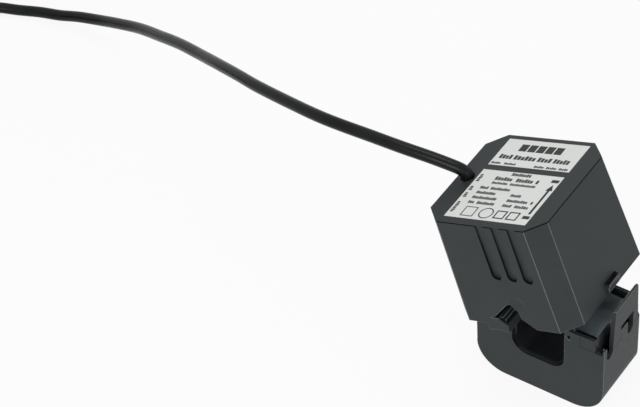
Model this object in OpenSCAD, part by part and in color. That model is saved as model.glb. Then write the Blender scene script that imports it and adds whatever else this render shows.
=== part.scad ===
// Split-core current transformer with a hinged jaw, a flexing latch and a moulded-on lead.
// Frame: +Z up, +Y away from the front, origin at the middle of the jaw's flat foot.
// The housing is drawn shut on the jaw and then swung open about the hinge pin.

/* [Housing] */
// Depth of the housing at its lid
housing_d = 43.4; // [40:0.5:50]
// Height of the side walls, bottom edge to seam
housing_h = 37.65; // [35:0.05:48]
// Size of the cut on each upright corner
corner_cut = 5.5; // [3:0.2:8]
// Wall thickness of the housing
housing_wall = 1.2; // [1:0.1:1.4]
// Draft of the side walls, in degrees
draft = 1.45; // [0.5:0.05:2]
// Thickness of the lid's visible rim
lid_rim = 0.35; // [0.3:0.05:1.5]
// Width of the seam under the lid
seam_gap = 0.35; // [0.15:0.05:0.4]
// How far the housing is swung open, in degrees
open_angle = 20; // [0:1:60]

/* [Jaw] */
// Width of the jaw
jaw_w = 45; // [44.5:0.1:52]
// Depth of the jaw, front to back
jaw_d = 24.4; // [22:0.2:28]
// Height of the jaw's arms
arm_h = 31.9; // [30:0.1:38]
// Radius of the two rounded lower corners
foot_r = 10.4; // [6:0.2:12]
// Wall thickness of the jaw
jaw_wall = 1.2; // [0.9:0.1:1.6]
// Width of the jaw's two arms together, the rest being the cable window
arms_w = 28.2; // [27.5:0.1:29.5]
// Height of the window's floor above the foot
window_floor = 14.3; // [13:0.1:18]

/* [Hinge and latch] */
// Radius of the hinge pin
pin_r = 0.95; // [0.8:0.05:1.2]
// Radius of the hinge knuckles
knuckle_r = 2.2; // [2:0.1:2.6]
// Running clearance of the pin in its bores
pin_play = 0.05; // [0.02:0.01:0.1]
// Thickness of the latch tab
tab_t = 1.4; // [1.2:0.05:1.6]
// Height of the latch tab above its root
tab_h = 15; // [12:0.5:18]
// Height of the window in the latch tab
tab_window_h = 5.6; // [5:0.1:7]
// Length of the catch on the housing
catch_l = 6.4; // [5:0.1:6.5]
// How far the catch's beak stands out from the wall
catch_out = 1.75; // [1.4:0.05:1.9]

/* [Core and winding] */
// Width of the core's legs
core_leg = 8.3; // [6:0.1:8.4]
// Depth of the core stack
core_d = 18.2; // [14:0.2:19]
// Thickness of the winding on the bobbin
winding_t = 2.4; // [1.5:0.1:3]

/* [Lead] */
// Diameter of the lead
lead_d = 4; // [3.5:0.1:5]
// Mean diameter of the stored coil
coil_mean_d = 46; // [40:1:56]

/* [Hidden] */

// Places shared by several pieces
jx = jaw_w / 2;
jy = jaw_d / 2;
hinge_x = 0.65 - jx;
hinge_z = arm_h - 7.4;
house_z0 = hinge_z + 2.8;
seam_z = house_z0 + housing_h;
housing_w = jaw_w - 2;
house_x = hinge_x + housing_w / 2 - 1.5;
lid_z = seam_z + seam_gap;
top_z = lid_z + lid_rim;
house_y = 1.9;
slope = tan(draft);
gap = 0.3;
eps = 0.01;
far = 60;
round_fn = 48;

// Jaw
cover_t = 1;
jaw_back = jy - cover_t;
window_w = jaw_w - arms_w;
win_x0 = -window_w / 2 - 0.65;
win_x1 = win_x0 + window_w;
win_r_left = 4.8;
win_r_right = 3.8;
lip = 0.85;
side_t = 1.25;
side_in = jx - side_t;
column_z = arm_h - 2.9;
slot_z = arm_h - 8.4;
notch_z = house_z0 - 0.4;
notch_x = house_x + half_x(house_z0) - housing_wall - gap;
step_z = arm_h - 4.9;
notch_r = 1.4;
corner_chamfer = 2.2;
knuckle_y = 5;
relief_r = knuckle_r + 0.35;

// Latch
tab_x = jx - tab_t / 2;
tab_z = arm_h - 6;
tab_y0 = -6.83;
tab_y1 = 8.87;
tab_win_y0 = -1.93;
tab_win_y1 = 5.77;
tongue_y1 = tab_win_y0 + 4.4;
root_gap = 0.3;
catch_y = (tab_win_y0 + tab_win_y1 + 0.6) / 2;
catch_top = tab_z + tab_window_h - gap;
catch_h = 3.9;
tongue_h = 3.5;
tongue_t = 0.5;
beak_z = tab_z + tongue_h + gap;
catch_x = jx - tongue_t - gap;

// Cores
pole_z = arm_h;
core_x0 = win_x0 - jaw_wall - 0.1 - core_leg;
core_x1 = win_x1 + jaw_wall + 1.35;
core_y0 = -core_d / 2 - 0.9;
core_r = 6;
core_foot = window_floor - jaw_wall - 0.2 - core_leg;
upper_pole = pole_z + gap;
bob_t = 0.9;
tape_t = 0.3;
bob_x0 = core_x0 + core_leg;
bob_x1 = core_x1;

// Tray
tray_t = 1.2;
collar_h = 4;

// Lead
lead_r = lead_d / 2;
lead_x = hinge_x + 2.25;
lead_y = 1.7;
wire_r = 0.65;
plate_t = 1.45;
anchor_z1 = lid_z - plate_t;
anchor_z0 = anchor_z1 - 6.2;
hole_r = lead_r + 0.35;
wire_y = 1.1;
upper_top = anchor_z0 - 2.6;
yoke_z = upper_top - core_leg;
label_t = 0.3;
label_dip = 0.05;
exit_p = swing_pt([lead_x, lead_y, top_z]);
coil_rows = 6;
coil_cols = 4;
coil_h = coil_rows * lead_d;
tie_t = 0.8;
tie_w = 2.6;
coil_half = coil_cols * lead_d / 2;
coil_turn_r = coil_mean_d / 2 + coil_half - lead_r;
coil_in = [exit_p[0] - 264, lead_y + 22.5];
coil_c = [coil_in[0] + 8, coil_in[1] - coil_turn_r + 1];
coil_top = tie_t + coil_h;
tail_a = 322;
tail_sweep = 50;
wire_sweep = 48;
ferrule_l = 8;
label_x0 = house_x - housing_w / 2 + 6.95;
label_x1 = house_x + housing_w / 2 - 6.15;
label_y0 = house_y - housing_d / 2 + 2.5;
label_y1 = house_y + housing_d / 2 - 1.7;
label_split = house_y + 5.5;
label_gap = 2.4;

// Route of the lead after the lid: x and y from the exit, height as a share of the exit's height
lead_route = [
    [-0.4, 0, 1.018], [-1.9, -0.3, 1.037], [-5, -1, 1.052], [-12, -2, 1.065], [-22, -3, 1.07],
    [-33.5, -3, 1.06], [-45, -2.5, 1.04], [-54, -1.5, 1.02], [-67, 2, 0.967], [-83, 7.5, 0.886],
    [-95, 13, 0.81], [-107, 19, 0.72], [-120, 26, 0.61], [-134, 33, 0.5], [-148, 39.5, 0.38],
    [-161.5, 45.5, 0.265], [-174, 49, 0.17], [-184, 51, 0.1], [-194, 51, 0.056],
    [-202, 50, 0.024], [-210, 48.5, 0.01], [-218, 46, 0], [-225, 43.5, 0], [-234, 39, 0],
    [-244, 33.5, 0], [-254, 28, 0.006], [-264, 22.5, 0.013]
];

function swing_pt(p) = [
    hinge_x + (p[0] - hinge_x) * cos(open_angle) - (p[2] - hinge_z) * sin(open_angle),
    p[1],
    hinge_z + (p[0] - hinge_x) * sin(open_angle) + (p[2] - hinge_z) * cos(open_angle)
];
function half_x(z) = housing_w / 2 + (seam_z - z) * slope;
function half_y(z) = housing_d / 2 + (seam_z - z) * slope;
function octagon(hx, hy, c, z) = [
    [hx, -hy + c, z], [hx, hy - c, z], [hx - c, hy, z], [-hx + c, hy, z],
    [-hx, hy - c, z], [-hx, -hy + c, z], [-hx + c, -hy, z], [hx - c, -hy, z]
];
function unit(v) = v / norm(v);
function heading(p, i) =
    unit(p[min(i + 1, len(p) - 1)] - p[max(i - 1, 0)]);
function ring(p, t, r, sides) =
    let (u = unit([-t[2], 0, t[0]]), w = cross(u, t))
    [for (k = [0:sides - 1]) p + r * (cos(360 * k / sides) * u + sin(360 * k / sides) * w)];

// Turns closed-up pieces of the housing about the hinge pin
module swung() {
    translate([hinge_x, 0, hinge_z]) rotate([0, -open_angle, 0])
        translate([-hinge_x, 0, -hinge_z]) children();
}

// Upright slab between two depths from a drawing in width and height
module slab(y0, y1) {
    translate([0, y1, 0]) rotate([90, 0, 0]) linear_extrude(y1 - y0) children();
}

module block(a, b) {
    translate(a) cube(b - a);
}

// Eight-sided body with the housing's draft, pulled in by a wall
module drafted(z0, z1, inset) {
    cut = corner_cut - inset * (2 - sqrt(2));
    lower = octagon(half_x(z0) - inset, half_y(z0) - inset, cut, z0);
    upper = octagon(half_x(z1) - inset, half_y(z1) - inset, cut, z1);
    translate([house_x, house_y, 0]) polyhedron(
        concat(lower, upper),
        concat([[for (i = [0:7]) i]], [[for (i = [7:-1:0]) 8 + i]],
            [for (i = [0:7]) [i, 8 + i, 8 + (i + 1) % 8, (i + 1) % 8]])
    );
}

// Round tube through a list of points
module sweep(p, r, sides) {
    n = len(p);
    polyhedron(
        [for (i = [0:n - 1]) each ring(p[i], heading(p, i), r, sides)],
        concat([[for (k = [0:sides - 1]) k]], [[for (k = [sides - 1:-1:0]) (n - 1) * sides + k]],
            [for (i = [0:n - 2]) for (k = [0:sides - 1])
                [i * sides + k, (i + 1) * sides + k,
                    (i + 1) * sides + (k + 1) % sides, i * sides + (k + 1) % sides]])
    );
}

// Jaw outline with two round lower corners
module jaw_outline(inset, top) {
    r = foot_r - inset;
    translate([foot_r - jx, inset]) square([jaw_w - 2 * foot_r, top - inset]);
    translate([inset - jx, foot_r]) square([jaw_w - 2 * inset, top - foot_r]);
    for (s = [-1, 1]) translate([s * (jx - foot_r), foot_r]) circle(r, $fn = round_fn);
}

// Cable window, grown outward by a wall
module window_outline(grow) {
    x0 = win_x0 - grow;
    x1 = win_x1 + grow;
    z0 = window_floor - grow;
    rl = win_r_left + grow;
    rr = win_r_right + grow;
    translate([x0 + rl, z0]) square([x1 - rr - x0 - rl, far]);
    translate([x0 + rl, z0 + rr]) square([x1 - x0 - rl, far]);
    translate([x0, z0 + rl]) square([x1 - x0, far]);
    translate([x0 + rl, z0 + rl]) circle(rl, $fn = round_fn);
    translate([x1 - rr, z0 + rr]) circle(rr, $fn = round_fn);
}

// Slot with a round lower end, cut through the jaw's right wall
module side_slot(y0, y1) {
    r = (y1 - y0) / 2;
    translate([jx + 1, 0, 0]) rotate([90, 0, -90]) linear_extrude(side_t + 2) {
        translate([-y1, slot_z + r]) square([y1 - y0, far]);
        translate([r - y1, slot_z + r]) circle(r, $fn = round_fn);
    }
}

module jaw_shell() {
    color([0.27, 0.29, 0.29]) difference() {
        union() {
            difference() {
                slab(-jy, jaw_back) difference() {
                    jaw_outline(0, arm_h);
                    window_outline(0);
                }
                slab(-jy - 1, jaw_wall - jy) window_outline(lip);
                slab(jaw_wall - jy, jy) difference() {
                    intersection() {
                        jaw_outline(jaw_wall, arm_h + 1);
                        translate([-far, 0]) square([far + side_in, far]);
                    }
                    window_outline(jaw_wall);
                }
                block([notch_x, -far, notch_z], [side_in, far, far]);
                block([side_in - eps, -far, column_z], [jx + 1, far, far]);
                slab(-jy - 1, jaw_wall - jy) {
                    translate([side_in - notch_r / 2, notch_z + notch_r])
                        circle(notch_r, $fn = round_fn);
                    translate([side_in - eps, notch_z + notch_r])
                        square([notch_r / 2 + eps, far]);
                }
                side_slot(-jy + 1.7, tab_y0);
                side_slot(tongue_y1, tab_win_y1);
                block([side_in - 1, tab_y0, tab_z - root_gap], [jx + 1, jy + 1, far]);
                slab(-jy - 1, jaw_wall - jy + eps) polygon([
                    [win_x1 + 1.25, arm_h - 3.1], [win_x1 + 2.75, arm_h - 1.6],
                    [win_x1 + 2.75, arm_h - 3.9]
                ]);
                block([jx - 8.7, -jy - 1, step_z], [side_in, 0.12 - jy, far]);
                translate([tab_x, tab_y0 - eps, tab_z]) rotate([-90, 0, 0])
                    cylinder(r = tab_t / 2 + pin_play, h = tab_win_y0 - tab_y0 + gap, $fn = round_fn);
                translate([tab_x, tab_win_y1 - gap, tab_z]) rotate([-90, 0, 0])
                    cylinder(r = tab_t / 2 + pin_play, h = tab_y1 - tab_win_y1 + 2 * gap,
                        $fn = round_fn);
                translate([jx - corner_chamfer, jy, -1]) rotate([0, 0, -45])
                    cube([far, far, far]);
                translate([hinge_x, -knuckle_y, hinge_z]) rotate([-90, 0, 0])
                    cylinder(r = relief_r, h = 2 * knuckle_y, $fn = round_fn);
            }
            for (y = [[-jy, -knuckle_y], [knuckle_y, jaw_back]])
                translate([hinge_x, y[0], hinge_z]) rotate([-90, 0, 0])
                    cylinder(r = knuckle_r, h = y[1] - y[0], $fn = round_fn);
            block([jx - tongue_t, tab_win_y0 + gap, slot_z], [jx, tongue_y1, tab_z + tongue_h]);
        }
        translate([hinge_x, jaw_wall - jy, hinge_z]) rotate([-90, 0, 0])
            cylinder(r = pin_r, h = jaw_d, $fn = round_fn);
    }
}

module jaw_back_cover() {
    color([0.25, 0.27, 0.27]) difference() {
        slab(jaw_back, jy) difference() {
            jaw_outline(0, arm_h);
            window_outline(0);
        }
        block([notch_x, -far, notch_z], [side_in, far, far]);
        block([side_in - eps, -far, column_z], [jx + 1, far, far]);
        translate([jx - corner_chamfer, jy, -1]) rotate([0, 0, -45])
            cube([far, far, far]);
    }
}

// One half of the wound core, legs up
module core_outline(h) {
    w = core_x1 + core_leg - core_x0;
    translate([core_x0, 0]) difference() {
        union() {
            translate([core_r, 0]) square([w - 2 * core_r, h]);
            translate([0, core_r]) square([w, h - core_r]);
            for (x = [core_r, w - core_r]) translate([x, core_r]) circle(core_r, $fn = round_fn);
        }
        translate([core_leg, core_leg]) square([w - 2 * core_leg, h]);
    }
}

module lower_core() {
    color([0.45, 0.46, 0.47]) slab(core_y0, core_y0 + core_d)
        translate([0, core_foot]) core_outline(pole_z - core_foot);
}

module lower_core_spring() {
    w = 9;
    t = 0.5;
    rise = core_foot - jaw_wall;
    color([0.7, 0.71, 0.72]) slab(core_y0 + 4, core_y0 + core_d - 4)
        translate([0, jaw_wall]) polygon([
            [-w, 0], [1.2 - w, 0], [-1.5, rise - t - 0.1], [1.5, rise - t - 0.1], [w - 1.2, 0],
            [w, 0], [w, t], [w - 1, t], [1.7, rise], [-1.7, rise], [1 - w, t], [-w, t]
        ]);
}

module hinge_pin() {
    color([0.75, 0.76, 0.77])
        translate([hinge_x, jaw_wall - jy, hinge_z]) rotate([-90, 0, 0])
            cylinder(r = pin_r, h = jaw_back - jaw_wall + jy, $fn = round_fn);
}

module latch_tab() {
    x0 = jx - tab_t;
    top = tab_z + tab_h;
    color([0.3, 0.32, 0.32]) union() {
        difference() {
            slab(tab_y0, tab_y1) polygon([
                [x0, tab_z], [jx, tab_z], [jx, top], [x0 + 0.6, top], [x0, top - 1.2]
            ]);
            block([x0 - 1, tab_win_y0, tab_z - 1], [jx + 1, tab_win_y1, tab_z + tab_window_h]);
            translate([x0 - 1, 0, 0]) rotate([90, 0, 90]) linear_extrude(tab_t + 2) {
                polygon([[tab_y0 - 1, tab_z], [tab_y0, tab_z], [tab_y0 + 1.2, top + 1],
                    [tab_y0 - 1, top + 1]]);
                polygon([[tab_y1 + 1, tab_z], [tab_y1, tab_z], [tab_y1 - 0.7, top + 1],
                    [tab_y1 + 1, top + 1]]);
            }
        }
        for (y = [[tab_y0, tab_win_y0], [tab_win_y1, tab_y1]])
            translate([tab_x, y[0], tab_z]) rotate([-90, 0, 0])
                cylinder(r = tab_t / 2, h = y[1] - y[0], $fn = round_fn);
    }
}

// Grip groove on the front, from the seam down
module grip_groove(x) {
    w = 2.85;
    r = 1.8;
    z = seam_z - 19.7;
    slab(-far, house_y - half_y(seam_z) + 0.42) {
        translate([x + r, z]) square([w - r, far]);
        translate([x, z + r]) square([w, far]);
        translate([x + r, z + r]) circle(r, $fn = 24);
    }
}

module housing_shell() {
    left = house_x - half_x(house_z0);
    front = house_y - half_y(house_z0);
    hx = hinge_x;
    hz = hinge_z;
    right_lo = house_x + half_x(catch_top - catch_h);
    right_hi = house_x + half_x(catch_top);
    color([0.27, 0.3, 0.3]) swung() difference() {
        union() {
            difference() {
                union() {
                    difference() {
                        drafted(house_z0, seam_z, 0);
                        drafted(house_z0 - 1, seam_z + 1, housing_wall);
                    }
                    intersection() {
                        block([hx + 17, -far, seam_z - 20.9], [hx + 33.7, front + 2.4, seam_z - 2.7]);
                        drafted(house_z0, seam_z, housing_wall / 2);
                    }
                }
                slab(-far, front + housing_wall + 1) polygon([
                    [hx + 12.3, hz - 5], [hx + 12.3, hz + 5.2], [hx + 14.05, hz + 6],
                    [hx + 20.1, hz + 11.25], [hx + 21.5, hz + 11.3], [hx + 22.3, hz + 10.1],
                    [hx + 23.5, hz + 8.9], [hx + 23.85, hz + 6.3], [hx + 28.4, house_z0],
                    [hx + 28.4, hz - 5]
                ]);
                slab(-front - 1, far) polygon([
                    [hx + 12.3, hz - 5], [hx + 12.3, hz + 5.2], [hx + 14.6, hz + 6.9],
                    [hx + 20, hz + 9], [hx + 24.3, hz + 6.2], [hx + 28.4, house_z0],
                    [hx + 28.4, hz - 5]
                ]);
                translate([hx + 24.5, front - 11.4, hz + 12.6]) sphere(r = 12, $fn = 96);
                for (x = [18.3, 24.1, 29.9]) grip_groove(hx + x);
            }
            intersection() {
                translate([hx, 0, hz]) union() {
                    slab(-far, -jy - gap) polygon([
                        [6.1, 3.1], [10, 2.5], [10, 0.1], [11.5, 0.6], [13.2, 0.8], [15.2, 0.5],
                        [17.4, 0.1], [17.55, 3], [17.1, 3.2], [17.1, 1.4], [16.25, 1.4],
                        [16.25, 2.2], [12.3, 2.5], [12.3, 7.5], [6.1, 7.5]
                    ]);
                    slab(front + 1.4, -jy - gap) polygon([
                        [14.25, 2], [16.25, 2], [16.25, 3.75], [15.8, 3.95], [15.8, 3.3],
                        [15.5, 3.3], [15.5, 4.6], [14.25, 5]
                    ]);
                    slab(-far, front + 0.7) polygon([
                        [12.3, 2.4], [12.3, 5.2], [14.7, 5.15], [17.65, 2.75], [17.4, 0.1],
                        [15.2, 0.5], [13.2, 0.8]
                    ]);
                }
                drafted(hz - 2, hz + 8, 0);
            }
            translate([hx, gap - knuckle_y, hz]) rotate([-90, 0, 0])
                cylinder(r = knuckle_r, h = 2 * (knuckle_y - gap), $fn = round_fn);
            block([left + 0.05, gap - knuckle_y, hz], [-jx - gap, knuckle_y - gap, hz + 6]);
            slab(catch_y - catch_l / 2, catch_y + catch_l / 2) polygon([
                [right_hi - 0.6, catch_top - catch_h], [right_lo + 0.1, catch_top - catch_h],
                [catch_x, catch_top - catch_h + 1.1], [catch_x, beak_z],
                [right_hi + catch_out, beak_z + 0.5], [right_hi + catch_out, catch_top - 0.3],
                [right_hi, catch_top + 0.2], [right_hi - 0.6, catch_top + 0.2]
            ]);
        }
        for (c = [[catch_x - 0.3, 2.2], [right_hi + catch_out - 0.3, 0.8]])
            block([right_hi + 0.05, catch_y - catch_l / 2 + 0.3, catch_top - c[1]],
                [c[0], catch_y + catch_l / 2 - 0.3, catch_top + 0.3]);
        translate([hx, -knuckle_y, hz]) rotate([-90, 0, 0])
            cylinder(r = pin_r + pin_play, h = 2 * knuckle_y, $fn = round_fn);
    }
}

// Recess for a label, or the label itself, between two depths under the lid's top
module label_box(y0, y1, low, high) {
    block([label_x0, y0, top_z - low], [label_x1, y1, top_z - high]);
}

module housing_lid() {
    color([0.28, 0.3, 0.31]) swung() difference() {
        union() {
            drafted(lid_z, top_z, 0);
            drafted(anchor_z1, lid_z, housing_wall);
            difference() {
                drafted(seam_z - 2.6, anchor_z1, housing_wall);
                drafted(seam_z - 3.6, anchor_z1 + eps, housing_wall + 1.3);
                block([-far, lead_y - 3.7, seam_z - 3], [lead_x + 5, lead_y + 3.7, anchor_z1]);
            }
        }
        label_box(label_y0, label_split - label_gap / 2, label_t + label_dip, -1);
        label_box(label_split + label_gap / 2, label_y1, label_t + label_dip, -1);
        translate([lead_x, lead_y, anchor_z0]) cylinder(r = hole_r, h = far, $fn = round_fn);
    }
}

module header_label() {
    color([0.88, 0.89, 0.88]) swung()
        label_box(label_split + label_gap / 2, label_y1, label_t + label_dip, label_dip);
}

module rating_label() {
    color([0.88, 0.89, 0.88]) swung()
        label_box(label_y0, label_split - label_gap / 2, label_t + label_dip, label_dip);
}

module leg_blocks(grow, z0, z1) {
    for (x = [core_x0, core_x1])
        block([x - grow, core_y0 - grow, z0], [x + core_leg + grow, core_y0 + core_d + grow, z1]);
}

module core_tray() {
    color([0.2, 0.21, 0.21]) swung() difference() {
        union() {
            drafted(upper_pole, upper_pole + tray_t, housing_wall);
            intersection() {
                leg_blocks(1, upper_pole, upper_pole + tray_t + collar_h);
                drafted(upper_pole, upper_pole + tray_t + collar_h, housing_wall);
            }
        }
        leg_blocks(0, upper_pole - 1, far * 2);
        block([hinge_x + 5, -far, upper_pole - 1], [hinge_x + 30, core_y0 - 1.2, upper_pole + 2]);
    }
}

module upper_core() {
    color([0.45, 0.46, 0.47]) swung() slab(core_y0, core_y0 + core_d)
        translate([0, upper_top]) mirror([0, 1]) core_outline(upper_top - upper_pole);
}

// Box round the yoke of the upper core between two widths
module yoke_box(x0, x1, grow) {
    block([x0, core_y0 - grow, yoke_z - grow], [x1, core_y0 + core_d + grow, upper_top + grow]);
}

module bobbin() {
    flange = bob_t + winding_t + tape_t + 0.4;
    color([0.85, 0.83, 0.75]) swung() difference() {
        union() {
            yoke_box(bob_x0, bob_x1, bob_t);
            yoke_box(bob_x0, bob_x0 + 1, flange);
            yoke_box(bob_x1 - 1, bob_x1, flange);
        }
        yoke_box(bob_x0 - 1, bob_x1 + 1, 0);
    }
}

module secondary_winding() {
    color([0.62, 0.34, 0.16]) swung() difference() {
        yoke_box(bob_x0 + 1, bob_x1 - 1, bob_t + winding_t);
        yoke_box(bob_x0, bob_x1, bob_t);
    }
}

module winding_tape() {
    color([0.85, 0.72, 0.2]) swung() difference() {
        yoke_box(bob_x0 + 1, bob_x1 - 1, bob_t + winding_t + tape_t);
        yoke_box(bob_x0, bob_x1, bob_t + winding_t);
    }
}

module lead_grommet() {
    color([0.08, 0.08, 0.08]) swung() translate([lead_x, lead_y, anchor_z1]) difference() {
        cylinder(r = hole_r, h = top_z - anchor_z1 - 0.45, $fn = round_fn);
        translate([0, 0, -1]) cylinder(r = lead_r, h = far, $fn = round_fn);
    }
}

module lead_anchor() {
    color([0.15, 0.15, 0.16]) swung() difference() {
        block([lead_x - 2.3, lead_y - 3.6, anchor_z0], [lead_x + 3.6, lead_y + 3.6, anchor_z1]);
        translate([lead_x, lead_y, anchor_z0 - 1]) cylinder(r = lead_r, h = far, $fn = round_fn);
    }
}

module inner_lead(y) {
    z = upper_top + 1.2;
    swung() sweep([
        [lead_x, y, anchor_z0 + 0.8], [lead_x, y, anchor_z0 - 0.1], [lead_x + 0.7, y, z + 0.3],
        [lead_x + 2.4, y, z], [(lead_x + bob_x0) / 2 + 1, y, z + 0.1],
        [bob_x0 - 1.5, y, z + 0.5], [bob_x0, y, z + 0.5]
    ], wire_r, 8);
}

module inner_lead_brown() {
    color([0.36, 0.2, 0.1]) inner_lead(lead_y - wire_y);
}

module inner_lead_blue() {
    color([0.1, 0.25, 0.6]) inner_lead(lead_y + wire_y);
}

module lead_tube() {
    start = [swing_pt([lead_x, lead_y, anchor_z0 + 0.8]), exit_p];
    loose = [for (r = lead_route)
        [exit_p[0] + r[0], lead_y + r[1], lead_r + (exit_p[2] - lead_r) * r[2]]];
    color([0.1, 0.11, 0.11]) sweep(concat(start, loose), lead_r, 8);
}

module coil_solid() {
    translate([coil_c[0], coil_c[1], tie_t]) rotate_extrude($fn = 64)
        translate([coil_mean_d / 2 - coil_half, 0]) square([2 * coil_half, coil_h]);
}

module lead_coil() {
    color([0.1, 0.11, 0.11]) coil_solid();
}

module coil_tie() {
    color([0.6, 0.6, 0.58]) difference() {
        translate([coil_c[0], coil_c[1], 0]) rotate([0, 0, 200])
            translate([coil_mean_d / 2 - coil_half - tie_t, -tie_w / 2, 0])
                cube([2 * coil_half + 2 * tie_t, tie_w, coil_h + 2 * tie_t]);
        coil_solid();
    }
}

// Round run that follows the coil's outer turn, lying on its top
module top_run(a, sweep_a, dr, dz, r) {
    translate([coil_c[0], coil_c[1], coil_top + lead_r + dz]) rotate([0, 0, a])
        rotate_extrude(angle = sweep_a, $fn = 96)
            translate([coil_turn_r + dr, 0]) circle(r, $fn = 24);
}

module lead_tail() {
    color([0.1, 0.11, 0.11]) top_run(tail_a, tail_sweep, 0, 0, lead_r);
}

module core_wire_brown() {
    color([0.36, 0.2, 0.1]) top_run(tail_a + tail_sweep, wire_sweep, -wire_y, -0.5, wire_r);
}

module core_wire_blue() {
    color([0.1, 0.25, 0.6]) top_run(tail_a + tail_sweep, wire_sweep, wire_y, -0.5, wire_r);
}

// Straight ferrule at the end of a core wire
module ferrule(dr) {
    translate([coil_c[0], coil_c[1], coil_top + lead_r - 0.5])
        rotate([0, 0, tail_a + tail_sweep + wire_sweep]) translate([coil_turn_r + dr, 0, 0])
            rotate([-90, 0, 0]) {
                cylinder(r = 1, h = 2, $fn = 24);
                cylinder(r = 0.55, h = ferrule_l, $fn = 24);
            }
}

module ferrule_brown() {
    color([0.78, 0.78, 0.8]) ferrule(-wire_y);
}

module ferrule_blue() {
    color([0.78, 0.78, 0.8]) ferrule(wire_y);
}

jaw_shell();
jaw_back_cover();
lower_core();
lower_core_spring();
hinge_pin();
latch_tab();
housing_shell();
housing_lid();
header_label();
rating_label();
core_tray();
upper_core();
bobbin();
secondary_winding();
winding_tape();
lead_grommet();
lead_anchor();
inner_lead_brown();
inner_lead_blue();
lead_tube();
lead_coil();
coil_tie();
lead_tail();
core_wire_brown();
core_wire_blue();
ferrule_brown();
ferrule_blue();
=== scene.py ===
# Looks of the split-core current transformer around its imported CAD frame.
import math

import bmesh
import bpy
from mathutils import Matrix, Vector


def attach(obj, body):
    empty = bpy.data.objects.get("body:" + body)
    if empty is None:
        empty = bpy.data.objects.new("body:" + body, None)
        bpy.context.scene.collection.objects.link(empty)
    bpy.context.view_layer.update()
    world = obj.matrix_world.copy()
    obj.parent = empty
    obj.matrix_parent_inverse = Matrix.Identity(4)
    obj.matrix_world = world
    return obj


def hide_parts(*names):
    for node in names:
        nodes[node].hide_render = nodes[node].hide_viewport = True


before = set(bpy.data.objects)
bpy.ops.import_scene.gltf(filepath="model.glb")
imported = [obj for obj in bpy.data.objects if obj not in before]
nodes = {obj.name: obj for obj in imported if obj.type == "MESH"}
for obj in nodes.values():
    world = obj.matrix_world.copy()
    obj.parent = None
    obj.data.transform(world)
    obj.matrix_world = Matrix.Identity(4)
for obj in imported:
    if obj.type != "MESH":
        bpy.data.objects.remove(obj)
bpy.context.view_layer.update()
MM = 0.001


# ---- Camera ----
CAMERA_PLACE = Vector((286.7, -520.9, 657.9)) * MM
CAMERA_FORWARD = Vector((-0.4167, 0.5784, -0.7013))
CAMERA_RIGHT = Vector((0.8353, 0.5479, -0.0444))
SENSOR_MM, LENS_MM = 36, 157.4


def make_camera():
    """A long lens from the front right and above, at the photograph's angle."""
    forward = CAMERA_FORWARD.normalized()
    right = (CAMERA_RIGHT - forward * CAMERA_RIGHT.dot(forward)).normalized()
    up = right.cross(forward)
    data = bpy.data.cameras.new("camera")
    data.sensor_width = SENSOR_MM
    data.lens = LENS_MM
    data.clip_start, data.clip_end = 0.01, 20
    obj = bpy.data.objects.new("camera", data)
    axes = Matrix((right, up, -forward)).transposed().to_4x4()
    obj.matrix_world = Matrix.Translation(CAMERA_PLACE) @ axes
    bpy.context.collection.objects.link(obj)
    bpy.context.scene.camera = obj


make_camera()

# ---- Lead ----
LEAD_R = 2 * MM
COIL_ROWS, COIL_COLUMNS = 6, 4
COIL_MEAN_R = 23 * MM
COIL_LIFT = 0.8 * MM
COIL_FROM_ENTRY = Vector((8, 1, 0)) * MM
COIL_STEPS = 24
RISE = math.radians(36)
RISE_STEPS = 5
TAIL_SWEEP, TAIL_POINTS = math.radians(50), 8
EXIT = Vector((-33.81, 1.7, 63.94)) * MM
# The route after the lid, as in the part: x and y from the exit in mm, and the height as a share
# of the exit's height
ROUTE = [
    (-0.4, 0, 1.018), (-1.9, -0.3, 1.037), (-5, -1, 1.052), (-12, -2, 1.065), (-22, -3, 1.07),
    (-33.5, -3, 1.06), (-45, -2.5, 1.04), (-54, -1.5, 1.02), (-67, 2, 0.967), (-83, 7.5, 0.886),
    (-95, 13, 0.81), (-107, 19, 0.72), (-120, 26, 0.61), (-134, 33, 0.5), (-148, 39.5, 0.38),
    (-161.5, 45.5, 0.265), (-174, 49, 0.17), (-184, 51, 0.1), (-194, 51, 0.056),
    (-202, 50, 0.024), (-210, 48.5, 0.01), (-218, 46, 0), (-225, 43.5, 0), (-234, 39, 0),
    (-244, 33.5, 0), (-254, 28, 0.006), (-264, 22.5, 0.013),
]


def route_points():
    """The listed points, in metres."""
    out = [EXIT]
    for x, y, share in ROUTE:
        z = LEAD_R + (EXIT.z - LEAD_R) * share
        out.append(Vector((EXIT.x + x * MM, EXIT.y + y * MM, z)))
    return out


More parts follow.
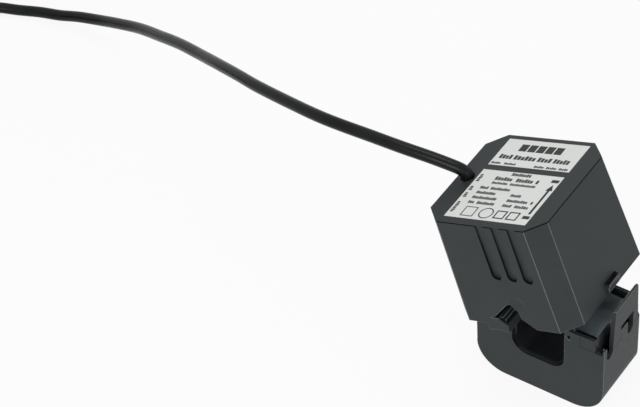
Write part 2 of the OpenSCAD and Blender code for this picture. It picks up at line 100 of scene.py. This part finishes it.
def coil_points(entry):
    """Turns that spiral in and out in turn, a diameter apart, one row above the other."""
    outer = COIL_MEAN_R + (COIL_COLUMNS - 1) * LEAD_R
    centre = entry + COIL_FROM_ENTRY - Vector((0, outer, 0))
    start = math.atan2(entry.y - centre.y, entry.x - centre.x)
    inner = outer - (COIL_COLUMNS - 1) * 2 * LEAD_R
    turns = COIL_COLUMNS - 1
    out, angle = [], start
    for row in range(COIL_ROWS):
        z = COIL_LIFT + LEAD_R + row * 2 * LEAD_R
        begin, end = (outer, inner) if row % 2 == 0 else (inner, outer)
        for i in range(turns * COIL_STEPS + 1):
            t = i / (turns * COIL_STEPS)
            r = begin + (end - begin) * t
            a = angle + t * turns * math.tau
            out.append((r, a, z))
        angle += turns * math.tau
        for i in range(1, RISE_STEPS):
            t = i / RISE_STEPS
            out.append((end, angle + RISE * t, z + 2 * LEAD_R * t * t * (3 - 2 * t)))
        angle += RISE
    top = COIL_LIFT + LEAD_R + COIL_ROWS * 2 * LEAD_R
    for i in range(TAIL_POINTS):
        out.append((outer, angle + TAIL_SWEEP * i / (TAIL_POINTS - 1), top))
    return [Vector((centre.x + r * math.cos(a), centre.y + r * math.sin(a), z)) for r, a, z in out]


def smooth_route(points, per_span=4):
    """A Catmull-Rom curve through the points."""
    out = []
    ends = [2 * points[0] - points[1]] + points + [2 * points[-1] - points[-2]]
    for i in range(1, len(ends) - 2):
        a, b, c, d = ends[i - 1:i + 3]
        for k in range(per_span):
            t = k / per_span
            out.append(0.5 * (2 * b + (c - a) * t + (2 * a - 5 * b + 4 * c - d) * t * t
                              + (3 * b - a - 3 * c + d) * t ** 3))
    out.append(points[-1])
    return out


def make_lead():
    """The whole lead as one curve, which stands for the part's three cord solids."""
    loose = route_points()
    path = smooth_route(loose)[:-1] + coil_points(loose[-1])
    curve = bpy.data.curves.new("lead", "CURVE")
    curve.dimensions = "3D"
    curve.bevel_depth = 1  # times each point's radius
    curve.bevel_resolution = 4
    curve.use_fill_caps = True
    spline = curve.splines.new("POLY")
    spline.points.add(len(path) - 1)
    for point, co in zip(spline.points, path):
        point.co = (*co, 1)
        point.radius = LEAD_R
    spline.use_smooth = True
    lead = bpy.data.objects.new("lead", curve)
    bpy.context.collection.objects.link(lead)
    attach(lead, "housing")
    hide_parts("lead_tube", "lead_coil", "lead_tail")
    return lead


lead = make_lead()


# ---- Materials ----
def linear(*srgb):
    """An sRGB colour, 0 to 255, as Blender's linear values."""
    values = [c / 255 for c in srgb]
    return tuple(c / 12.92 if c <= 0.04045 else ((c + 0.055) / 1.055) ** 2.4 for c in values)


MIX_COLOURS, MIX_RESULT = slice(6, 8), 2  # a Mix node's colour sockets


def shade(colour, factor):
    """The colour times a factor, or times one factor for each channel."""
    factors = factor if isinstance(factor, tuple) else (factor,) * 3
    return tuple(min(1, c * f) for c, f in zip(colour, factors))


class Nodes:
    """Builds one procedural material around a Principled shader."""

    def __init__(self, name, rough=0.5, metal=0.0, specular=0.5):
        self.material = bpy.data.materials.new(name)
        self.material.use_nodes = True
        self.tree = self.material.node_tree
        self.shader = self.tree.nodes["Principled BSDF"]
        self.shader.inputs["Roughness"].default_value = rough
        self.shader.inputs["Metallic"].default_value = metal
        self.shader.inputs["Specular IOR Level"].default_value = specular
        self.place = self.add("ShaderNodeTexCoord").outputs["Object"]

    def add(self, kind, **values):
        node = self.tree.nodes.new(kind)
        for key, value in values.items():
            setattr(node, key, value)
        return node

    def link(self, a, b):
        self.tree.links.new(a, b)

    def stretched(self, scale):
        node = self.add("ShaderNodeMapping")
        node.inputs["Scale"].default_value = scale
        self.link(self.place, node.inputs["Vector"])
        return node.outputs["Vector"]

    def noise(self, scale, detail=3.0, rough=0.5, vector=None):
        node = self.add("ShaderNodeTexNoise")
        node.inputs["Scale"].default_value = scale
        node.inputs["Detail"].default_value = detail
        node.inputs["Roughness"].default_value = rough
        self.link(vector or self.place, node.inputs["Vector"])
        return node.outputs["Fac"]

    def span(self, value, low, high, start=0.3, end=0.7):
        node = self.add("ShaderNodeMapRange")
        for key, number in (("From Min", start), ("From Max", end),
                            ("To Min", low), ("To Max", high)):
            node.inputs[key].default_value = number
        self.link(value, node.inputs["Value"])
        return node.outputs["Result"]

    def blend(self, fac, a, b):
        """Colour a where fac is 0 and b where it is 1; each is a colour or a socket."""
        node = self.add("ShaderNodeMix", data_type="RGBA")
        self.link(fac, node.inputs["Factor"])
        for socket, value in zip(node.inputs[MIX_COLOURS], (a, b)):
            if isinstance(value, tuple):
                socket.default_value = (*value, 1)
            else:
                self.link(value, socket)
        return node.outputs[MIX_RESULT]

    def colour(self, socket):
        self.link(socket, self.shader.inputs["Base Color"])

    def rough(self, socket):
        self.link(socket, self.shader.inputs["Roughness"])

    def bump(self, height, distance, strength=1.0):
        node = self.add("ShaderNodeBump")
        node.inputs["Strength"].default_value = strength
        node.inputs["Distance"].default_value = distance
        self.link(height, node.inputs["Height"])
        self.link(node.outputs["Normal"], self.shader.inputs["Normal"])


def moulded_plastic(name, colour, light, rough=0.42):
    """Spark-eroded black plastic: fine grain and faint flow marks."""
    m = Nodes(name, rough, specular=0.25)
    flow = m.noise(55, 4, 0.55)
    grain = m.noise(2600, 2, 0.6)
    tone = m.blend(m.span(flow, 0, 1), shade(colour, 0.9), shade(colour, 1.12))
    speck = m.blend(m.span(grain, 0, 0.35, 0.45, 0.75), tone, light)
    m.colour(speck)
    m.rough(m.span(grain, rough - 0.06, rough + 0.1))
    m.bump(grain, 0.03 * MM, 0.5)
    return m.material


def print_stock(name, colour):
    """Matt white label film with a faint paper-like tooth and slight yellowing."""
    m = Nodes(name, 0.55)
    tooth = m.noise(1800, 3, 0.6)
    cloud = m.noise(60, 3)
    m.colour(m.blend(m.span(cloud, 0, 1), colour, shade(colour, (0.97, 0.97, 0.95))))
    m.rough(m.span(tooth, 0.48, 0.62))
    m.bump(tooth, 0.01 * MM, 0.4)
    return m.material


def ink(name, colour):
    """Thermal-transfer ink, a little thin in places."""
    m = Nodes(name, 0.6)
    thin = m.noise(2200, 3, 0.7)
    m.colour(m.blend(m.span(thin, 0, 0.5, 0.5, 0.8), colour, linear(70, 72, 72)))
    return m.material


def cable_jacket(name, colour, light):
    """Glossy PVC drawn over two cores: long streaks and a faint orange peel."""
    m = Nodes(name, 0.24, specular=0.16)
    peel = m.noise(700, 2, 0.5)
    haze = m.noise(120, 4, 0.6)
    m.colour(m.blend(m.span(haze, 0, 1, 0.35, 0.75), colour, light))
    m.rough(m.span(haze, 0.2, 0.34))
    m.bump(peel, 0.06 * MM, 0.6)
    return m.material


def rolled_steel(name, colour, rough, grain=(90, 2600, 2600)):
    """Ground strip steel: fine parallel lines and soft blotches of oxide."""
    m = Nodes(name, rough, metal=1.0)
    lines = m.noise(1, 3, 0.6, m.stretched(grain))
    blotch = m.noise(180, 4, 0.6)
    base = m.blend(m.span(lines, 0, 1), shade(colour, 0.8), colour)
    m.colour(m.blend(m.span(blotch, 0, 0.4, 0.5, 0.8), base, shade(colour, 0.55)))
    m.rough(m.span(blotch, rough - 0.08, rough + 0.12))
    m.bump(lines, 0.02 * MM, 0.6)
    return m.material


def smooth_plastic(name, colour, rough, mottle=0.12, specular=0.5):
    """Plain moulded or extruded plastic with a slight mottle."""
    m = Nodes(name, rough, specular=specular)
    cloud = m.noise(400, 4, 0.6)
    m.colour(m.blend(m.span(cloud, 0, 1), shade(colour, 1 - mottle), shade(colour, 1 + mottle)))
    m.rough(m.span(cloud, rough - 0.05, rough + 0.08))
    m.bump(cloud, 0.02 * MM, 0.4)
    return m.material


def wound_wire(name, colour):
    """Enamelled wire in close turns round the yoke, with painted shade in dark bands between the
    turns.
    """
    m = Nodes(name, 0.25, metal=0.4)
    wave = m.add("ShaderNodeTexWave", wave_type="BANDS", bands_direction="X")
    wave.inputs["Scale"].default_value = 900
    wave.inputs["Distortion"].default_value = 0.4
    m.link(m.place, wave.inputs["Vector"])
    # The darker bands are painted shade between the turns.
    m.colour(m.blend(wave.outputs["Fac"], shade(colour, 0.4), colour))
    m.bump(wave.outputs["Fac"], 0.1 * MM)
    return m.material


def put(material, *names):
    """Gives the CAD pieces one material."""
    for n in names:
        nodes[n].data.materials.clear()
        nodes[n].data.materials.append(material)


# ---- Moulded shells with broken edges ----
HINGE_X, HINGE_Z, SWING = -21.85, 24.5, math.radians(20)
PRINT_Z = 65.62
LID_Z = 64.8  # just under the seam
GROOVE_BACK_Y = -17.6  # between the grooves and the inside of the front wall
WINDOW_SIDE_Z = 24  # the straight sides of the window that the front shows end here
MERGE = 0.0002 * MM
ROUND = 0.15 * MM
ROUND_ROOM = 2.2 * ROUND  # an edge shorter than this, or beside one, stays square
FLAT, CORNER, SMOOTH = math.radians(1), math.radians(22), math.radians(24)


def shut(point):
    """A place on the open housing, in metres, as its place in mm with the housing shut."""
    dx, dz = point.x / MM - HINGE_X, point.z / MM - HINGE_Z
    return Vector((HINGE_X + dx * math.cos(SWING) + dz * math.sin(SWING), point.y / MM,
                   HINGE_Z - dx * math.sin(SWING) + dz * math.cos(SWING)))


def in_window(at, front=12.0):
    """Whether a place, in mm, belongs to the inside of the jaw's cable window."""
    return at.z > 13 and -10 < at.x < 8.4 and abs(at.y) < front


def in_groove(at):
    """Whether a place on the shut housing belongs to the grip grooves on its front."""
    return at.y < -16 and at.z > 45 and -8 < at.x < 12


def at_seam(at):
    """Whether a place on the shut housing is in the gap under the lid."""
    return LID_Z < at.z < 65.4


# The faces inside the cable window take a near-black that paints their shade.
def inside_window(face):
    return in_window(face.calc_center_median() / MM)


def in_shadow_gap(face):
    """The side walls of the grip grooves and the two faces of the seam, which take a near-black that
    paints their shade.
    """
    at = shut(face.calc_center_median())
    return at_seam(at) or in_groove(at) and abs(face.normal.y) < 0.5


def kept_crisp(edge):
    """Edges of the cable window, the grooves and the lid, which meet square."""
    if all(in_window(v.co / MM, 12.3) and v.co.z < WINDOW_SIDE_Z * MM for v in edge.verts):
        return True
    places = [shut(v.co) for v in edge.verts]
    if all(p.z > LID_Z for p in places):
        return True
    return all(map(in_groove, places)) and any(p.y <= GROOVE_BACK_Y for p in places)


def rounded(edge, room):
    """Whether an edge is an outer corner with room for a round beside it."""
    return (edge.is_manifold and edge.is_convex and edge.calc_face_angle() > CORNER
            and min(room[v] for v in edge.verts) > ROUND_ROOM and not kept_crisp(edge))


def broken_edges(node, body, slot, inside, *materials):
    """Stands for a CAD shell with its outer edges rounded over.

    The rounds take the second material, a lighter plastic that paints a highlight along the edges,
    and the faces that inside() picks take the third, a near-black that paints their shade.
    """
    mesh = nodes[node].data.copy()
    mesh.materials.clear()
    for material in materials:
        mesh.materials.append(material)
    bm = bmesh.new()
    bm.from_mesh(mesh)
    bmesh.ops.remove_doubles(bm, verts=bm.verts, dist=MERGE)
    bmesh.ops.dissolve_limit(bm, angle_limit=FLAT, verts=bm.verts, edges=bm.edges)
    for face in bm.faces:
        face.material_index = 2 if inside and inside(face) else 0
    room = {v: min(e.calc_length() for e in v.link_edges) for v in bm.verts if v.link_edges}
    bmesh.ops.bevel(bm, geom=[e for e in bm.edges if rounded(e, room)], offset=ROUND,
                    offset_type="OFFSET", segments=2, profile=0.5, affect="EDGES",
                    clamp_overlap=False, material=1)
    for face in bm.faces:
        face.smooth = True
    bm.to_mesh(mesh)
    bm.free()
    mesh.set_sharp_from_angle(angle=SMOOTH)
    piece = bpy.data.objects.new(node + "_moulded", mesh)
    bpy.context.collection.objects.link(piece)
    piece.modifiers.new("even", "WEIGHTED_NORMAL").keep_sharp = True
    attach(piece, body)
    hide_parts(node)


BLACK = linear(38, 43, 44)
SPECK = linear(56, 62, 63)
jaw_plastic = moulded_plastic("jaw_plastic", BLACK, SPECK, 0.5)
housing_plastic = moulded_plastic("housing_plastic", BLACK, SPECK, 0.46)
# A lighter plastic for the rounded edges: a painted highlight along them.
painted_highlight_plastic = moulded_plastic("painted_highlight_plastic", linear(84, 89, 90), linear(130, 135, 136), 0.3)
# A near-black that paints the shade in the cable window, on the walls of the grip grooves and in the
# seam under the lid; the lead's grommet is made of it too.
painted_shade_and_grommet_plastic = smooth_plastic("painted_shade_and_grommet_plastic", linear(10, 12, 15), 0.65, mottle=0.3, specular=0.2)
MOULDED = [("jaw_shell", "jaw", "jaw_plastic", jaw_plastic, inside_window),
           ("jaw_back_cover", "jaw", "jaw_plastic", jaw_plastic, inside_window),
           ("latch_tab", "latch", "jaw_plastic", jaw_plastic, None),
           ("housing_shell", "housing", "housing_plastic", housing_plastic, in_shadow_gap),
           ("housing_lid", "housing", "housing_plastic", housing_plastic, in_shadow_gap)]
for node, body, slot, plastic, inside in MOULDED:
    broken_edges(node, body, slot, inside, plastic, painted_highlight_plastic, painted_shade_and_grommet_plastic)


# ---- Label print: plain bars, boxes and an arrow ----
def on_lid(x, y):
    """A place on the labels, in metres, from its place with the housing shut, in mm."""
    dx, dz = x - HINGE_X, PRINT_Z - HINGE_Z
    return Vector((HINGE_X + dx * math.cos(SWING) - dz * math.sin(SWING), y,
                   HINGE_Z + dx * math.sin(SWING) + dz * math.cos(SWING))) * MM


# All in mm on the shut lid. Rows of small blocks in place of words: x from, x to, y from, y to
WORDS = [
    (-14.7, -9.9, 12.1, 14.2), (-9.3, -1.2, 12.1, 14.2),
    (-0.5, 4.6, 12.1, 14.2), (5.3, 11.2, 12.1, 14.2),
    (-15.8, -12.3, 9.3, 10.3), (-11, -6.7, 9.3, 10.3),
    (0.1, 3.8, 9.2, 10.2), (4.6, 8.4, 9.2, 10.2), (9.2, 12.5, 9.2, 10.2),
    (-5, 2.1, 4.4, 5.8), (-9.7, -3.3, 1.7, 3.4), (-1.9, 4.3, 1.7, 3.4), (5.3, 6.4, 1.7, 3.4),
    (-9.6, -3.8, -0.2, 0.9), (-2.9, 6.4, -0.2, 0.9),
    (-12.2, -9.1, -3, -1.7), (-8.3, -1.1, -3, -1.7), (-12.1, -5, -5.4, -4.1),
    (-12.1, -3.2, -7.8, -6.5), (-12.1, -9.9, -10.2, -8.9), (-8.9, -2.5, -10.2, -8.9),
    (0.5, 4.3, -5.3, -4), (0.6, 8.2, -7.8, -6.5), (9.3, 10.2, -7.8, -6.5),
    (0.5, 3.8, -10.2, -8.9), (4.9, 9.9, -10.2, -8.9),
]
BLOCK_PITCH, BLOCK_SHARE, BLOCK_STEP = 0.62, 0.82, 0.12  # shares of a row's height or pitch
# The same along the left side: y from, y to
SIDE_WORDS = [(3.7, 0), (-2.3, -4.4), (-5.5, -7.8), (-9.9, -15.1)]
SIDE_X, SIDE_PITCH, SIDE_SHARE = (-15.7, -14.7), 0.75, 0.75
HEADER_BLOCKS, HEADER_X, HEADER_PITCH, HEADER_WIDE, HEADER_Y = 5, -10, 3.25, 2.8, (16.3, 19.7)
# Plain bars beside the arrow, and the arrow's shaft: x from, x to, y from, y to
BARS = [(10.2, 12.9, 3.1, 4.5), (10.4, 12.9, -14.5, -13.1), (11.35, 12.2, -12.2, 0)]
ARROW_HEAD = [(10.6, -0.7), (13, -0.7), (11.75, 2.2)]
# Plain outlines: x, y, radius, line, corners, turn
OUTLINES = [(-9, -13.9, 3.2, 0.5, 4, math.pi / 4), (-2.8, -13.9, 2.5, 0.4, 24, 0),
            (2.4, -13.9, 2.7, 0.7, 4, math.pi / 4), (7, -13.9, 2.7, 0.7, 4, math.pi / 4)]


def box(x0, x1, y0, y1):
    return [(x0, y0), (x1, y0), (x1, y1), (x0, y1)]


def outline(cx, cy, r, line, corners, turn):
    """The strips of a ring with flat sides."""
    for i in range(corners):
        a, b = (turn + math.tau * k / corners for k in (i, i + 1))
        yield [(cx + q * math.cos(t), cy + q * math.sin(t))
               for q, t in ((r, a), (r, b), (r - line, b), (r - line, a))]


def blocks(start, end, pitch):
    """Places of the blocks in a row, each with its pitch and a step of 0 to 2."""
    count = max(1, round((end - start) / pitch))
    pitch = (end - start) / count
    return [(start + i * pitch, pitch, i * 7 % 3) for i in range(count)]


def print_faces():
    """Faces of the printed shapes, in mm on the shut lid."""
    faces = [box(HEADER_X + i * HEADER_PITCH, HEADER_X + i * HEADER_PITCH + HEADER_WIDE, *HEADER_Y)
             for i in range(HEADER_BLOCKS)]
    for x0, x1, y0, y1 in WORDS:
        high = y1 - y0
        faces += [box(x, x + BLOCK_SHARE * pitch, y0, y1 - high * BLOCK_STEP * step)
                  for x, pitch, step in blocks(x0, x1, BLOCK_PITCH * high)]
    for y0, y1 in SIDE_WORDS:
        faces += [box(SIDE_X[0], SIDE_X[1] + BLOCK_STEP * step, -y - SIDE_SHARE * pitch, -y)
                  for y, pitch, step in blocks(-y0, -y1, SIDE_PITCH)]
    faces += [box(*bar) for bar in BARS]
    faces.append(ARROW_HEAD)
    for values in OUTLINES:
        faces += outline(*values)
    return faces


def make_print():
    """The print as thin faces a little above the label film."""
    points, faces = [], []
    for corners in print_faces():
        faces.append(range(len(points), len(points) + len(corners)))
        points += [on_lid(x, y) for x, y in corners]
    mesh = bpy.data.meshes.new("label_print")
    mesh.from_pydata(points, [], faces)
    mesh.materials.append(ink("label_ink", linear(14, 16, 18)))
    piece = bpy.data.objects.new("label_print", mesh)
    bpy.context.collection.objects.link(piece)
    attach(piece, "housing")


make_print()

# ---- The other pieces ----
put(smooth_plastic("inner_plastic", linear(16, 18, 20), 0.45, mottle=0.2, specular=0.3), "core_tray")
put(print_stock("label_white", linear(236, 238, 237)), "header_label", "rating_label")
put(rolled_steel("core_steel", linear(146, 154, 158), 0.36), "upper_core", "lower_core")
put(rolled_steel("bright_steel", linear(205, 206, 207), 0.28, (2600, 200, 2600)),
    "hinge_pin", "lower_core_spring")
put(smooth_plastic("bobbin_nylon", linear(214, 208, 190), 0.5), "bobbin")
put(wound_wire("winding_enamel", linear(186, 96, 38)), "secondary_winding")
put(smooth_plastic("tape_yellow", linear(222, 190, 70), 0.3), "winding_tape")
put(smooth_plastic("wire_brown", linear(104, 64, 36), 0.3), "inner_lead_brown", "core_wire_brown")
put(smooth_plastic("wire_blue", linear(38, 84, 168), 0.3), "inner_lead_blue", "core_wire_blue")
put(rolled_steel("tinned", linear(210, 211, 213), 0.3), "ferrule_brown", "ferrule_blue")
put(smooth_plastic("tie_white", linear(214, 214, 208), 0.5), "coil_tie")
black_pvc = cable_jacket("lead_black", linear(11, 14, 15), linear(20, 23, 24))
put(black_pvc, "lead_anchor")
put(painted_shade_and_grommet_plastic, "lead_grommet")
lead.data.materials.append(black_pvc)


# ---- Floor and light ----
FLOOR_SIZE, FLOOR_DROP, FLOOR_GLOW = 1.6, 0.0002, 0.9
KEY, FILL, TOP, SKY = 5.0, 3.0, 3.0, 0.42
LAMP_SIZE = 0.6
LAMPS = [("key", (0.1, -1.0, 0.5), KEY), ("fill", (1.0, -0.35, 0.3), FILL),
         ("top", (-0.2, 0.2, 1.1), TOP)]


def seen_directly(tree):
    """1 for what the camera, a mirror or glass sees, 0 for the light that the object receives."""
    rays = tree.nodes.new("ShaderNodeLightPath")
    value = rays.outputs["Is Camera Ray"]
    for kind in ("Is Glossy Ray", "Is Transmission Ray"):
        either = tree.nodes.new("ShaderNodeMath")
        either.operation = "MAXIMUM"
        tree.links.new(value, either.inputs[0])
        tree.links.new(rays.outputs[kind], either.inputs[1])
        value = either.outputs["Value"]
    return value


def floor_material():
    """Plain white paper, white by itself to the eye with the object's shadow still on it."""
    m = Nodes("floor", 0.9)
    tooth = m.noise(400, 3, 0.6)
    m.colour(m.blend(m.span(tooth, 0, 1), (0.86, 0.86, 0.86), (0.9, 0.9, 0.9)))
    glow = m.add("ShaderNodeEmission")
    glow.inputs["Strength"].default_value = 1.0
    mix = m.add("ShaderNodeMixShader")
    share = m.add("ShaderNodeMath", operation="MULTIPLY")
    share.inputs[1].default_value = FLOOR_GLOW
    m.link(seen_directly(m.tree), share.inputs[0])
    m.link(share.outputs["Value"], mix.inputs["Fac"])
    m.link(m.shader.outputs["BSDF"], mix.inputs[1])
    m.link(glow.outputs["Emission"], mix.inputs[2])
    m.link(mix.outputs["Shader"], m.tree.nodes["Material Output"].inputs["Surface"])
    return m.material


def lamp(name, place, power):
    """A square soft lamp that faces the object."""
    data = bpy.data.lights.new(name, "AREA")
    data.energy, data.size = power, LAMP_SIZE
    obj = bpy.data.objects.new(name, data)
    obj.location = place
    obj.rotation_euler = (-Vector(place)).to_track_quat("-Z", "Y").to_euler()
    bpy.context.collection.objects.link(obj)


def make_stage():
    bpy.ops.mesh.primitive_plane_add(size=FLOOR_SIZE, location=(0, 0, -FLOOR_DROP))
    floor = bpy.context.object
    floor.name = "floor"
    floor.data.materials.append(floor_material())
    for values in LAMPS:
        lamp(*values)
    world = bpy.data.worlds.new("world")
    bpy.context.scene.world = world
    world.use_nodes = True
    tree = world.node_tree
    strength = tree.nodes.new("ShaderNodeMapRange")
    strength.inputs["To Min"].default_value = SKY
    strength.inputs["To Max"].default_value = 1.0
    tree.links.new(seen_directly(tree), strength.inputs["Value"])
    background = tree.nodes["Background"]
    background.inputs["Color"].default_value = (1, 1, 1, 1)
    tree.links.new(strength.outputs["Result"], background.inputs["Strength"])


make_stage()
bpy.context.scene.view_settings.view_transform = "Standard"
